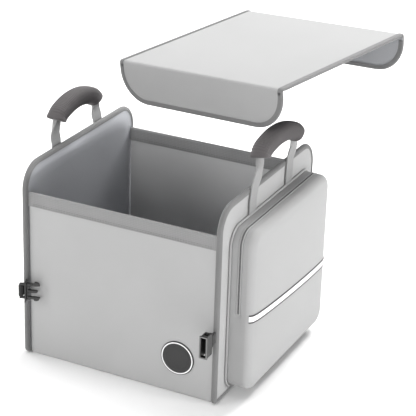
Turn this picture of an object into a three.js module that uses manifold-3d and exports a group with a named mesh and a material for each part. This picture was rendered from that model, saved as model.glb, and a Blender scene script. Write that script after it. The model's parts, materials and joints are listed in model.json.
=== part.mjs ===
import * as THREE from 'three';
import { mergeVertices } from 'three/addons/utils/BufferGeometryUtils.js';
import Module from 'manifold-3d';

// Open trunk organizer with a lifted-off lid, two carrying handles and a zipped side pocket.
// Millimetres, +Z up, the front wall faces -Y and the end with the pocket faces +X.
// The origin is on the floor, under the middle of the open box.

const wasm = await Module();
wasm.setup();

// Clearance left between pieces that are sewn or seated together
const seam = 0.3;

const box = {
  length: 358,
  depth: 361,
  wallHeight: 307,
  wallThickness: 5,
  floorThickness: 5,
};
const baseBoard = { thickness: 3, margin: 2.5 };
const end = { overhang: 8.5, rise: 50, thickness: 7, topRadius: 46, footRadius: 10 };
const edging = { width: 8, ribbon: 0.8 };
const hem = { width: 25, ribbon: 0.8 };

// The lid floats where it was lifted to, turned and tipped a little
const lid = {
  length: 356,
  width: 370,
  thickness: 4.5,
  flapDepth: 75,
  flapRadius: 60,
  bindingStart: 9,
  centre: { x: 73.3, y: 200.8, z: 502.9 },
  roll: 1.6,
  pitch: -5.03,
  yaw: -12.18,
};
// The side edgings stop short of the folds, clear of the flaps when these fold inwards
const lidEdging = { width: 9, ribbon: 0.8, foldGap: 2.6 };

const strap = { width: 28, thickness: 2.4, coreWidth: 14, coreThickness: 9, gather: 22 };
const grip = {
  length: 132,
  width: 32,
  height: 31,
  mouth: 14,
  mouthWidth: 25,
  mouthHeight: 23,
  rise: 64,
  drop: 15,
  hem: 6,
  hemTaper: 0.08,
};
const handles = {
  left: { side: -1, legSpacing: 145, sway: -8, twist: 0 },
  right: { side: 1, legSpacing: 147, sway: 20, twist: 7 },
};
// How far down the left handle's legs are sewn to the bare end panel
const sewnLeg = 112;

const pocket = {
  frontMargin: 39,
  rearMargin: 21,
  topMargin: 49,
  footGap: 1,
  depth: 44,
  crown: 5,
  corner: 28,
  fillet: 14,
  wall: 4,
};
const piping = { bead: 4, roundShare: 0.35 };
const zip = { lift: 19, width: 7, groove: 1.6, ridge: 0.8, ridgeWidth: 3.15, start: 145 };
const slider = { width: 9, length: 12, height: 2.6, rise: 32 };
const bridge = { width: 2.4, span: 3, opening: 1.8, rise: 3, bar: 1.2, sunk: 0.5 };
const pull = { width: 7, length: 25, thickness: 1.2, eye: 3.2, eyeLength: 4.2 };
const stripe = { height: 14.5, thickness: 0.8, frontZ: 155, rearZ: 135, frontInset: 2, rearInset: 3 };

const badge = { radius: 31, thickness: 2, rim: 4, sunk: 0.4, chamfer: 0.6, fromEnd: 67, z: 68 };

const buckle = {
  height: 39,
  thickness: 14,
  length: 28,
  wall: 2,
  skin: 1,
  corner: 2,
  rimLip: 0.6,
  barRadius: 2.2,
  barReach: 7,
  cheek: 3.5,
  z: 130,
  standOff: 14,
};
const sideWindow = { fromMouth: 7, fromBack: 5 };
const plug = {
  thickness: 5,
  flange: 14,
  flangeDepth: 2.5,
  length: 31,
  sideGap: 2,
  shoulder: 4,
  prong: 7,
  barb: 12,
  spring: 3.5,
  guide: 1.8,
  guideRoot: 2.6,
  restAngle: 110,
};
const loop = { width: 20, thickness: 1.6, sideGap: 1 };

const colours = {
  panel: 0xc4c5c7,
  inside: 0x9fa0a3,
  edging: 0x7c7d80,
  hem: 0xa3a4a7,
  webbing: 0x97989b,
  grip: 0x4d494a,
  pocket: 0xcfd0d2,
  plastic: 0x1b1b1c,
  stripe: 0xf2f3f3,
};

// Closed shapes and solids

function rectangle(left, right, bottom, top) {
  const outline = new THREE.Shape();
  outline.moveTo(left, bottom);
  outline.lineTo(right, bottom);
  outline.lineTo(right, top);
  outline.lineTo(left, top);
  outline.closePath();
  return outline;
}

// A rectangle whose two upper corners share one radius and its two lower corners another
function roundedOutline(left, right, bottom, top, lowerRadius, upperRadius) {
  const outline = new THREE.Shape();
  const quarter = Math.PI / 2;
  outline.moveTo(left + lowerRadius, bottom);
  outline.lineTo(right - lowerRadius, bottom);
  outline.absarc(right - lowerRadius, bottom + lowerRadius, lowerRadius, -quarter, 0);
  outline.lineTo(right, top - upperRadius);
  outline.absarc(right - upperRadius, top - upperRadius, upperRadius, 0, quarter);
  outline.lineTo(left + upperRadius, top);
  outline.absarc(left + upperRadius, top - upperRadius, upperRadius, quarter, 2 * quarter);
  outline.lineTo(left, bottom + lowerRadius);
  outline.absarc(left + lowerRadius, bottom + lowerRadius, lowerRadius, 2 * quarter, 3 * quarter);
  return outline;
}

// Turns a geometry made in a profile's own plane so that the profile's two axes and the
// direction it is extruded in become the given axes
function oriented(geometry, across, up, along, start) {
  const frame = new THREE.Matrix4().makeBasis(across, up, along);
  frame.setPosition(along.clone().multiplyScalar(start));
  return geometry.applyMatrix4(frame);
}

const X = new THREE.Vector3(1, 0, 0);
const Y = new THREE.Vector3(0, 1, 0);
const Z = new THREE.Vector3(0, 0, 1);

function extrusion(outline, depth) {
  return new THREE.ExtrudeGeometry(outline, { depth, bevelEnabled: false, curveSegments: 8 });
}

// A profile drawn in Y and Z, extruded from one X to another
function alongX(outline, from, to) {
  return oriented(extrusion(outline, to - from), Y, Z, X, from);
}

// A profile drawn in X and Z, extruded from one Y to another
function alongY(outline, from, to) {
  const back = Y.clone().negate();
  return oriented(extrusion(outline, to - from), X, Z, back, -to);
}

// A profile drawn in X and Y, extruded from one Z to another
function alongZ(outline, from, to) {
  return oriented(extrusion(outline, to - from), X, Y, Z, from);
}

function toSolid(geometry) {
  const bare = geometry.clone();
  bare.deleteAttribute('normal');
  bare.deleteAttribute('uv');
  const merged = mergeVertices(bare, 1e-4);
  return new wasm.Manifold(
    new wasm.Mesh({
      numProp: 3,
      vertProperties: merged.attributes.position.array,
      triVerts: merged.index.array,
    }),
  );
}

function toGeometry(manifold) {
  const mesh = manifold.getMesh();
  const geometry = new THREE.BufferGeometry();
  geometry.setAttribute('position', new THREE.BufferAttribute(mesh.vertProperties, mesh.numProp));
  geometry.setIndex(new THREE.BufferAttribute(mesh.triVerts, 1));
  geometry.computeVertexNormals();
  return geometry;
}

function carve(body, ...cutters) {
  return cutters.reduce((left, cutter) => left.subtract(toSolid(cutter)), toSolid(body));
}

// Joins a row of rings, each with as many points, into one closed skin with a fan over each end
function loft(rings) {
  const sides = rings[0].length;
  const positions = rings.flat().flatMap((point) => [point.x, point.y, point.z]);
  const index = [];
  for (let ring = 0; ring < rings.length - 1; ring++) {
    for (let side = 0; side < sides; side++) {
      const here = ring * sides + side;
      const next = ring * sides + ((side + 1) % sides);
      index.push(here, next, here + sides, next, next + sides, here + sides);
    }
  }
  [0, rings.length - 1].forEach((ring) => {
    const centre = new THREE.Vector3();
    rings[ring].forEach((point) => centre.addScaledVector(point, 1 / sides));
    const hub = positions.length / 3;
    positions.push(centre.x, centre.y, centre.z);
    for (let side = 0; side < sides; side++) {
      const here = ring * sides + side;
      const next = ring * sides + ((side + 1) % sides);
      index.push(...(ring === 0 ? [hub, next, here] : [hub, here, next]));
    }
  });
  const geometry = new THREE.BufferGeometry();
  geometry.setAttribute('position', new THREE.Float32BufferAttribute(positions, 3));
  geometry.setIndex(index);
  geometry.computeVertexNormals();
  return geometry;
}

// Groups that hold the sub-parts

const organizer = new THREE.Group();

function group(parent, place = new THREE.Vector3()) {
  const made = new THREE.Group();
  made.position.copy(place);
  parent.add(made);
  return made;
}

function piece(parent, name, geometry, color, roughness, metalness = 0) {
  const material = new THREE.MeshStandardMaterial({ color, roughness, metalness });
  const mesh = new THREE.Mesh(geometry, material);
  mesh.name = name;
  parent.add(mesh);
  return mesh;
}

// Open box: two end boards, front and rear walls, floor and loose base board

const ribbonStand = edging.ribbon + seam;
const endInner = box.length / 2 + ribbonStand;
const endOuter = endInner + end.thickness;
const wallReach = box.length / 2 - seam;
const wallInner = box.depth / 2 - box.wallThickness;
const endHalfDepth = box.depth / 2 + end.overhang;
const endTop = box.wallHeight + end.rise;

function endOutline(inset) {
  const reach = endHalfDepth - inset;
  return roundedOutline(
    -reach, reach, inset, endTop - inset, end.footRadius - inset, end.topRadius - inset,
  );
}

// Ribbon folded over the edge of a board: a band round the outline with a flange on each face
function endEdging() {
  const over = end.thickness + 2 * ribbonStand;
  const slot = end.thickness + 2 * seam;
  return toGeometry(
    carve(
      alongX(endOutline(0), -over / 2, over / 2),
      alongX(endOutline(edging.width), -over, over),
      alongX(endOutline(edging.ribbon), -slot / 2, slot / 2),
    ),
  );
}

// Ribbon folded over a straight top edge, open downwards, in Y and Z about the wall's own middle
function hemProfile() {
  const outer = box.wallThickness / 2 + seam + hem.ribbon;
  const inner = box.wallThickness / 2 + seam;
  const top = box.wallHeight + hem.ribbon;
  const bottom = top - hem.width;
  const outline = new THREE.Shape();
  outline.moveTo(-outer, bottom);
  outline.lineTo(-inner, bottom);
  outline.lineTo(-inner, top - hem.ribbon);
  outline.lineTo(inner, top - hem.ribbon);
  outline.lineTo(inner, bottom);
  outline.lineTo(outer, bottom);
  outline.lineTo(outer, top);
  outline.lineTo(-outer, top);
  outline.closePath();
  return outline;
}

function addEnd(name, side) {
  const middle = side * (endInner + end.thickness / 2);
  const holder = group(organizer, new THREE.Vector3(middle, 0, 0));
  const board = alongX(endOutline(ribbonStand), -end.thickness / 2, end.thickness / 2);
  piece(holder, `${name}_end_panel`, board, colours.panel, 0.85);
  piece(holder, `${name}_end_edging`, endEdging(), colours.edging, 0.9);
}

function addWall(name, side) {
  const middle = side * (box.depth / 2 - box.wallThickness / 2);
  const holder = group(organizer, new THREE.Vector3(0, middle, 0));
  const half = box.wallThickness / 2;
  const wallTop = box.wallHeight - seam;
  const wall = alongX(rectangle(-half, half, 0, wallTop), -wallReach, wallReach);
  piece(holder, `${name}_panel`, wall, colours.panel, 0.85);
  piece(holder, `${name}_hem_band`, alongX(hemProfile(), -wallReach, wallReach), colours.hem, 0.9);
}

function addFloor() {
  const reach = wallInner - seam;
  const floor = alongX(rectangle(-reach, reach, 0, box.floorThickness), -wallReach, wallReach);
  piece(organizer, 'bottom_panel', floor, colours.inside, 0.85);
  const boardBottom = box.floorThickness + seam;
  const board = alongZ(
    roundedOutline(
      -wallReach + baseBoard.margin, wallReach - baseBoard.margin,
      -reach + baseBoard.margin, reach - baseBoard.margin,
      baseBoard.margin, baseBoard.margin,
    ),
    boardBottom,
    boardBottom + baseBoard.thickness,
  );
  piece(organizer, 'base_board', board, colours.inside, 0.8);
}

// Lid: a flat board with a hanging flap along its front and rear edges.
// In its own frame the top face is at Z 0 and the flaps fold about lines along X.

const lidStand = lidEdging.ribbon + seam;
const foldY = lid.width / 2 - lid.thickness;
const foldZ = -lid.thickness;
const flapThickness = lid.thickness - seam;

// Straight edging for the lid board's ends, open towards the middle, in X and Z
function lidEdgeProfile() {
  const outer = lid.length / 2;
  const innerEdge = outer - lidEdging.width;
  const outline = new THREE.Shape();
  outline.moveTo(innerEdge, lidStand);
  outline.lineTo(innerEdge, seam);
  outline.lineTo(outer - lidEdging.ribbon, seam);
  outline.lineTo(outer - lidEdging.ribbon, -lid.thickness - seam);
  outline.lineTo(innerEdge, -lid.thickness - seam);
  outline.lineTo(innerEdge, -lid.thickness - lidStand);
  outline.lineTo(outer, -lid.thickness - lidStand);
  outline.lineTo(outer, lidStand);
  outline.closePath();
  return outline;
}

// A flap seen from the front, with large round lower corners
function flapOutline(inset, top) {
  const reach = lid.length / 2 - inset;
  const radius = lid.flapRadius - inset;
  const bottom = -lid.flapDepth + inset;
  const outline = new THREE.Shape();
  outline.moveTo(-reach, top);
  outline.lineTo(-reach, bottom + radius);
  outline.absarc(-reach + radius, bottom + radius, radius, Math.PI, 1.5 * Math.PI);
  outline.lineTo(reach - radius, bottom);
  outline.absarc(reach - radius, bottom + radius, radius, -Math.PI / 2, 0);
  outline.lineTo(reach, top);
  outline.closePath();
  return outline;
}

function flapEdging() {
  const start = foldZ - lid.bindingStart;
  const above = foldZ;
  const over = flapThickness + 2 * lidStand;
  const slot = flapThickness + 2 * seam;
  return toGeometry(
    carve(
      alongY(flapOutline(0, start), -over / 2, over / 2),
      alongY(flapOutline(lidEdging.width, above), -over, over),
      alongY(flapOutline(lidEdging.ribbon, above), -slot / 2, slot / 2),
    ),
  );
}

// The cloth that turns the corner between the lid board and a flap, a quarter round
function foldProfile(side) {
  const outline = new THREE.Shape();
  outline.moveTo(0, 0);
  if (side > 0) {
    outline.absarc(0, 0, lid.thickness, 0, Math.PI / 2);
  } else {
    outline.absarc(0, 0, lid.thickness, Math.PI / 2, Math.PI);
  }
  outline.closePath();
  return outline;
}

function addFlap(parent, name, side) {
  const middle = side * (foldY + seam + flapThickness / 2);
  const holder = group(parent, new THREE.Vector3(0, middle, 0));
  const flap = alongY(flapOutline(lidStand, foldZ - seam), -flapThickness / 2, flapThickness / 2);
  piece(holder, `lid_${name}_flap`, flap, colours.panel, 0.85);
  piece(holder, `lid_${name}_flap_edging`, flapEdging(), colours.edging, 0.9);
  const fold = group(parent, new THREE.Vector3(0, side * foldY, foldZ));
  const cloth = alongX(foldProfile(side), -lid.length / 2, lid.length / 2);
  piece(fold, `lid_${name}_fold`, cloth, colours.panel, 0.85);
}

function addLid() {
  const holder = group(organizer, new THREE.Vector3(lid.centre.x, lid.centre.y, lid.centre.z));
  const degrees = THREE.MathUtils.degToRad;
  holder.rotation.set(degrees(lid.roll), degrees(lid.pitch), degrees(lid.yaw), 'ZYX');
  const reachX = lid.length / 2 - lidStand;
  const reachY = foldY - seam;
  const edgeReach = foldY - lidEdging.foldGap;
  const top = alongX(rectangle(-reachY, reachY, -lid.thickness, 0), -reachX, reachX);
  piece(holder, 'lid_board', top, colours.panel, 0.85);
  [['left', -1], ['right', 1]].forEach(([name, side]) => {
    const ribbon = alongY(lidEdgeProfile(), -edgeReach, edgeReach);
    const edge = piece(holder, `lid_${name}_edging`, ribbon, colours.edging, 0.9);
    edge.rotation.z = side > 0 ? 0 : Math.PI;
  });
  addFlap(holder, 'front', -1);
  addFlap(holder, 'rear', 1);
}

// Carrying handles: one webbing loop each, gathered to a narrow core inside a padded grip

const handleX = endOuter + ribbonStand + seam + strap.thickness / 2;
const gripEndY = grip.length / 2;
const sectionSides = 12;

// How a handle's legs bow: they lean from a shoulder below the end's top, pass the top a third
// of the way over, run free under the grip and tuck into its ends, the rear one a little lower
const bow = { shoulder: 25, overTop: 3, leaned: 0.3, slack: 5, flare: 3, tuck: 6, tilt: 2 };
// Where the grip's arc has points, as shares of its half length, its drop and its twist
const arc = { at: 0.45, frontDrop: 0.2, rearDrop: 0.25, twistIn: 0.3, twistEnd: 0.5 };

function handleRoute(handle, sewn) {
  const { side, sway, twist } = handle;
  const x = side * handleX;
  const foot = handle.legSpacing / 2;
  const shoulder = endTop - bow.shoulder;
  const apex = endTop + grip.rise;
  const gripEnd = apex - grip.drop;
  const free = (gripEnd + endTop) / 2 - bow.slack;
  const lean = (share) => side * twist * share;
  const frontLeg = -foot + bow.leaned * (foot - gripEndY + sway);
  const rearLeg = foot - bow.leaned * (foot - gripEndY - sway);
  const at = gripEndY * arc.at;
  return new THREE.CatmullRomCurve3([
    new THREE.Vector3(x, -foot, sewn),
    new THREE.Vector3(x, -foot, (sewn + shoulder) / 2),
    new THREE.Vector3(x, -foot, shoulder),
    new THREE.Vector3(x, frontLeg, endTop + bow.overTop),
    new THREE.Vector3(x, sway - gripEndY - bow.flare, free + bow.slack),
    new THREE.Vector3(x - lean(arc.twistEnd), sway - gripEndY + bow.tuck, gripEnd),
    new THREE.Vector3(x - lean(arc.twistIn), sway - at, apex - grip.drop * arc.frontDrop),
    new THREE.Vector3(x, sway, apex),
    new THREE.Vector3(x + lean(arc.twistIn), sway + at, apex - grip.drop * arc.rearDrop),
    new THREE.Vector3(x + lean(arc.twistEnd), sway + gripEndY - bow.tuck, gripEnd - bow.tilt),
    new THREE.Vector3(x, sway + gripEndY + bow.flare, free),
    new THREE.Vector3(x, rearLeg, endTop + bow.overTop),
    new THREE.Vector3(x, foot, shoulder),
    new THREE.Vector3(x, foot, (sewn + shoulder) / 2),
    new THREE.Vector3(x, foot, sewn),
  ], false, 'centripetal');
}

// A ring of a rounded-rectangle section, with half sizes across the handle and in its own plane
function sectionRing(centre, tangent, halfAcross, halfInPlane) {
  const inPlane = new THREE.Vector3().crossVectors(tangent, X).normalize();
  const across = new THREE.Vector3().crossVectors(inPlane, tangent).normalize();
  return Array.from({ length: sectionSides }, (_, step) => {
    const angle = (2 * Math.PI * (step + 0.5)) / sectionSides;
    const square = (value) => Math.sign(value) * Math.abs(value) ** 0.5;
    return centre
      .clone()
      .addScaledVector(across, halfAcross * square(Math.cos(angle)))
      .addScaledVector(inPlane, halfInPlane * square(Math.sin(angle)));
  });
}

// Places and directions at even steps along part of a handle's route
function stations(route, from, to, count) {
  return Array.from({ length: count + 1 }, (_, step) => {
    const at = THREE.MathUtils.lerp(from, to, step / count);
    return { at, centre: route.getPointAt(at), tangent: route.getTangentAt(at) };
  });
}

// Where along its route, from 0 to 1, the grip starts and ends. Its arc is longer than its span.
function gripSpan(route) {
  const arcOverSpan = 1.06;
  const share = (grip.length * arcOverSpan) / route.getLength() / 2;
  const middle = 0.5;
  return { start: middle - share, end: middle + share };
}

function handleStrap(route) {
  const span = gripSpan(route);
  const gather = strap.gather / route.getLength();
  const rings = stations(route, 0, 1, 46).map(({ at, centre, tangent }) => {
    const entering = THREE.MathUtils.smoothstep(at, span.start - gather, span.start);
    const leaving = THREE.MathUtils.smoothstep(at, span.end, span.end + gather);
    const gathered = entering - leaving;
    const across = THREE.MathUtils.lerp(strap.thickness, strap.coreWidth, gathered) / 2;
    const inPlane = THREE.MathUtils.lerp(strap.width, strap.coreThickness, gathered) / 2;
    return sectionRing(centre, tangent, across, inPlane);
  });
  return loft(rings);
}

function handleGrip(route) {
  const span = gripSpan(route);
  const total = route.getLength();
  const outer = stations(route, span.start, span.end, 18).map(({ at, centre, tangent }) => {
    const nearEnd = Math.min(at - span.start, span.end - at) * total;
    const swell = 1 - grip.hemTaper * Math.exp(-nearEnd / grip.hem);
    return sectionRing(centre, tangent, (grip.width / 2) * swell, (grip.height / 2) * swell);
  });
  // The bore is cut from a little outside one end to a little outside the other
  const outside = 2 / total;
  const wideShare = 0.6;
  const tightWidth = strap.coreWidth + 2 * seam;
  const tightHeight = strap.coreThickness + 2 * seam;
  const bore = stations(route, span.start - outside, span.end + outside, 20).map(
    ({ at, centre, tangent }) => {
      const inside = Math.min(at - span.start, span.end - at) * total;
      const tight = THREE.MathUtils.smoothstep(inside, grip.mouth * wideShare, grip.mouth);
      const across = THREE.MathUtils.lerp(grip.mouthWidth, tightWidth, tight) / 2;
      const inPlane = THREE.MathUtils.lerp(grip.mouthHeight, tightHeight, tight) / 2;
      return sectionRing(centre, tangent, across, inPlane);
    },
  );
  return toGeometry(carve(loft(outer), loft(bore)));
}

// A handle whose webbing is sewn to the end panel down to a given height
function addHandle(name, handle, sewn) {
  const route = handleRoute(handle, sewn);
  piece(organizer, `${name}_handle_strap`, handleStrap(route), colours.webbing, 0.95);
  piece(organizer, `${name}_handle_grip`, handleGrip(route), colours.grip, 0.95);
}

// Zipped pocket: a moulded shell, open towards the end panel, with piping round its base.
// In its own frame X 0 is the end panel's outer face.

const pocketFront = -endHalfDepth + pocket.frontMargin;
const pocketRear = endHalfDepth - pocket.rearMargin;
const pocketFoot = edging.width + piping.bead + pocket.footGap;
const pocketTop = endTop - pocket.topMargin;
const pocketHalfWidth = (pocketRear - pocketFront) / 2;
const pocketHalfHeight = (pocketTop - pocketFoot) / 2;
const pocketCentreY = (pocketFront + pocketRear) / 2;
const pocketCentreZ = (pocketFoot + pocketTop) / 2;

// A ring of the shell's rounded-rectangle outline at one distance from the panel
function pocketRing(x, inset) {
  const halfWidth = pocketHalfWidth - inset;
  const halfHeight = pocketHalfHeight - inset;
  const leastRadius = 1;
  const radius = Math.max(pocket.corner - inset, leastRadius);
  const cornerSteps = 7;
  const edgeSteps = 3;
  const corners = [[1, 1], [-1, 1], [-1, -1], [1, -1]];
  const arcs = corners.map(([signY, signZ], turn) =>
    Array.from({ length: cornerSteps + 1 }, (_, step) => {
      const angle = (Math.PI / 2) * (turn + step / cornerSteps);
      return new THREE.Vector3(
        x,
        pocketCentreY + signY * (halfWidth - radius) + radius * Math.cos(angle),
        pocketCentreZ + signZ * (halfHeight - radius) + radius * Math.sin(angle),
      );
    }),
  );
  return arcs.flatMap((arc, turn) => {
    const from = arc[cornerSteps];
    const to = arcs[(turn + 1) % arcs.length][0];
    const between = Array.from({ length: edgeSteps - 1 }, (_, step) =>
      from.clone().lerp(to, (step + 1) / edgeSteps),
    );
    return [...arc, ...between];
  });
}

// Raises a point of the pocket's face by its share of the crown, none at the edges
function crowned(point) {
  const share = (offset, span) => Math.cos((Math.PI / 2) * Math.min(Math.abs(offset) / span, 1));
  const acrossY = share(point.y - pocketCentreY, pocketHalfWidth - pocket.fillet);
  const acrossZ = share(point.z - pocketCentreZ, pocketHalfHeight - pocket.fillet);
  return point.setX(point.x + pocket.crown * Math.sqrt(acrossY * acrossZ));
}

// The shell's closed outer form, moved out all round by grow and starting at one X
function pocketForm(grow, start) {
  const shoulder = pocket.depth - pocket.fillet;
  const radius = pocket.fillet + grow;
  const rings = [pocketRing(start, -grow), pocketRing(shoulder, -grow)];
  const filletSteps = 5;
  for (let step = 1; step <= filletSteps; step++) {
    const angle = (Math.PI / 2) * (step / filletSteps);
    rings.push(pocketRing(shoulder + radius * Math.sin(angle), radius * (1 - Math.cos(angle)) - grow));
  }
  const face = pocketRing(pocket.depth + grow, pocket.fillet);
  const middle = new THREE.Vector3(pocket.depth + grow, pocketCentreY, pocketCentreZ);
  [0.86, 0.66, 0.42, 0.18].forEach((scale) => {
    rings.push(face.map((point) => crowned(point.clone().lerp(middle, 1 - scale))));
  });
  return loft(rings);
}

// The slanted band across the pocket's face that the reflective stripe follows
function stripeBand() {
  const front = pocketFront + stripe.frontInset;
  const rear = pocketRear - stripe.rearInset;
  const half = stripe.height / 2;
  const outline = new THREE.Shape();
  outline.moveTo(front, stripe.frontZ - half);
  outline.lineTo(rear, stripe.rearZ - half);
  outline.lineTo(rear, stripe.rearZ + half);
  outline.lineTo(front, stripe.frontZ + half);
  outline.closePath();
  return alongX(outline, pocket.depth - pocket.fillet, pocket.depth + pocket.crown + pocket.fillet);
}

// The zip's stretch of the side wall: up the front side, over the top and down the rear side
const zipBottom = pocketFoot + zip.start;

function zipZone(width) {
  const past = 2 * pocketHalfWidth;
  const span = rectangle(pocketFront - past, pocketRear + past, zipBottom, pocketTop + past);
  return toSolid(alongX(span, zip.lift - width / 2, zip.lift + width / 2));
}

// How far a cutter reaches past the face that it cuts
const overcut = 1;

function pocketShell(start) {
  const groove = toSolid(pocketForm(overcut, 0))
    .subtract(toSolid(pocketForm(-zip.groove, -overcut)))
    .intersect(zipZone(zip.width + 2 * seam));
  return toSolid(pocketForm(0, start))
    .subtract(toSolid(pocketForm(-pocket.wall, start - overcut)))
    .subtract(groove);
}

function zipChain() {
  const tape = toSolid(pocketForm(-seam, 0)).intersect(zipZone(zip.width));
  const ridge = toSolid(pocketForm(zip.ridge, 0)).intersect(zipZone(zip.ridgeWidth));
  return tape.add(ridge).subtract(toSolid(pocketForm(-zip.groove + seam, -overcut)));
}

function pipingRing() {
  const bead = piping.bead;
  const grown = (grow) =>
    roundedOutline(
      pocketFront - grow, pocketRear + grow, pocketFoot - grow, pocketTop + grow,
      pocket.corner + grow, pocket.corner + grow,
    );
  const round = bead * piping.roundShare;
  const rim = new THREE.ExtrudeGeometry(grown(bead - round), {
    depth: bead - 2 * round,
    bevelThickness: round,
    bevelSize: round,
    bevelSegments: 2,
    curveSegments: 6,
  });
  return toGeometry(
    carve(oriented(rim, Y, Z, X, seam + round), alongX(grown(seam), -overcut, bead + overcut)),
  );
}

// The zip slider and its pull, in a frame whose Y points out of the pocket's rear side

function sliderBody() {
  const half = slider.length / 2;
  const shoulder = slider.width / 2;
  const tail = shoulder * 0.6;
  const waist = shoulder * 0.8;
  const shoulderUp = half * 0.35;
  const waistDown = -half * 0.2;
  const plan = new THREE.Shape();
  plan.moveTo(-tail, -half);
  plan.lineTo(tail, -half);
  plan.quadraticCurveTo(waist, waistDown, shoulder, shoulderUp);
  plan.quadraticCurveTo(shoulder, half, 0, half);
  plan.quadraticCurveTo(-shoulder, half, -shoulder, shoulderUp);
  plan.quadraticCurveTo(-waist, waistDown, -tail, -half);
  const plate = toSolid(alongY(plan, 0, slider.height));
  const root = slider.height - bridge.sunk;
  const top = slider.height + bridge.rise;
  const arch = new THREE.Shape();
  arch.moveTo(root, -bridge.span);
  arch.lineTo(top, -bridge.span);
  arch.lineTo(top, bridge.span);
  arch.lineTo(root, bridge.span);
  arch.lineTo(root, bridge.opening);
  arch.lineTo(top - bridge.bar, bridge.opening);
  arch.lineTo(top - bridge.bar, -bridge.opening);
  arch.lineTo(root, -bridge.opening);
  arch.closePath();
  return toGeometry(plate.add(toSolid(alongX(arch, -bridge.width / 2, bridge.width / 2))));
}

function pullTab() {
  const half = pull.width / 2;
  const bar = pull.thickness / 2;
  const roundShare = 0.9;
  const outline = roundedOutline(
    -half, half, -pull.length, bar, half * roundShare, bar * roundShare,
  );
  const eyeHalf = pull.eye / 2;
  const eye = rectangle(-eyeHalf, eyeHalf, -bar - pull.eyeLength, -bar);
  outline.holes.push(new THREE.Path(eye.getPoints()));
  return alongY(outline, -bar, bar);
}

function addPocket() {
  const holder = group(organizer, new THREE.Vector3(endOuter, 0, 0));
  piece(holder, 'pocket_shell', toGeometry(pocketShell(seam)), colours.pocket, 0.7);
  piece(holder, 'pocket_piping', pipingRing(), colours.panel, 0.8);
  piece(holder, 'zip_chain', toGeometry(zipChain()), colours.edging, 0.7);
  const film = toSolid(pocketForm(seam + stripe.thickness, 0))
    .subtract(toSolid(pocketForm(seam, -1)))
    .intersect(toSolid(stripeBand()));
  piece(holder, 'reflective_stripe', toGeometry(film), colours.stripe, 0.4);
  const rearSide = pocketRear + zip.ridge + seam;
  const carriage = group(holder, new THREE.Vector3(zip.lift, rearSide, zipBottom + slider.rise));
  piece(carriage, 'zip_slider', sliderBody(), colours.edging, 0.4, 0.8);
  const tab = piece(carriage, 'zip_pull', pullTab(), colours.panel, 0.5);
  tab.position.y = slider.height + (bridge.rise - bridge.bar) / 2;
}

// Round badge on the front panel, a raised rim round a bare face

function addBadge() {
  const { radius, thickness, chamfer } = badge;
  const face = thickness - badge.sunk;
  const rimInner = radius - badge.rim;
  const profile = [
    [0, 0], [radius, 0], [radius, thickness - chamfer], [radius - chamfer, thickness],
    [rimInner, thickness], [rimInner - badge.sunk, face], [0, face],
  ].map(([out, height]) => new THREE.Vector2(out, height));
  const disc = piece(organizer, 'badge_disc', new THREE.LatheGeometry(profile, 40), colours.plastic, 0.5);
  disc.rotation.x = Math.PI;
  disc.position.set(box.length / 2 - badge.fromEnd, -box.depth / 2 - seam, badge.z);
}

// Side-release buckle: a socket on the right end's front edge and its plug on the left end's.
// In each half's own frame Z is along its bar and the half points towards -Y.

const barSpan = loop.width / 2 + loop.sideGap;
const buckleY = -endHalfDepth - buckle.standOff;

function bucklePlan(outline, thickness) {
  return alongX(outline, -thickness / 2, thickness / 2);
}

function webBar(reach) {
  const rod = new THREE.CylinderGeometry(buckle.barRadius, buckle.barRadius, 2 * reach, 16);
  rod.rotateX(Math.PI / 2);
  return toSolid(rod);
}

// Two cheeks that carry the bar behind a buckle half, seen from its side in Y and Z
function cheeks(thickness) {
  const { cheek, skin } = buckle;
  const inner = -buckle.barReach - skin;
  const upper = roundedOutline(inner, buckle.barRadius, barSpan, barSpan + cheek, skin, skin);
  const lower = roundedOutline(inner, buckle.barRadius, -barSpan - cheek, -barSpan, skin, skin);
  return toSolid(bucklePlan(upper, thickness))
    .add(toSolid(bucklePlan(lower, thickness)))
    .add(webBar(barSpan + cheek / 2));
}

function socketBody() {
  const half = buckle.height / 2;
  const back = -buckle.barReach;
  const mouth = -buckle.length;
  const outerWide = buckle.thickness - 2 * buckle.skin;
  const innerWide = outerWide - 2 * buckle.wall;
  const rimWide = buckle.thickness + buckle.rimLip;
  const rimTall = half + buckle.rimLip;
  const wallTall = half - buckle.wall;
  const body = roundedOutline(mouth, back, -half, half, buckle.corner, buckle.corner);
  const rim = rectangle(mouth, mouth + buckle.wall, -rimTall, rimTall);
  const cavity = rectangle(mouth - overcut, back - buckle.wall, -wallTall, wallTall);
  const window = rectangle(
    mouth + sideWindow.fromMouth, back - sideWindow.fromBack, -half - overcut, half + overcut,
  );
  return toSolid(bucklePlan(body, outerWide))
    .add(toSolid(bucklePlan(rim, rimWide)))
    .add(cheeks(2 * buckle.barRadius))
    .subtract(toSolid(bucklePlan(cavity, innerWide)))
    .subtract(toSolid(bucklePlan(window, innerWide)));
}

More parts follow.
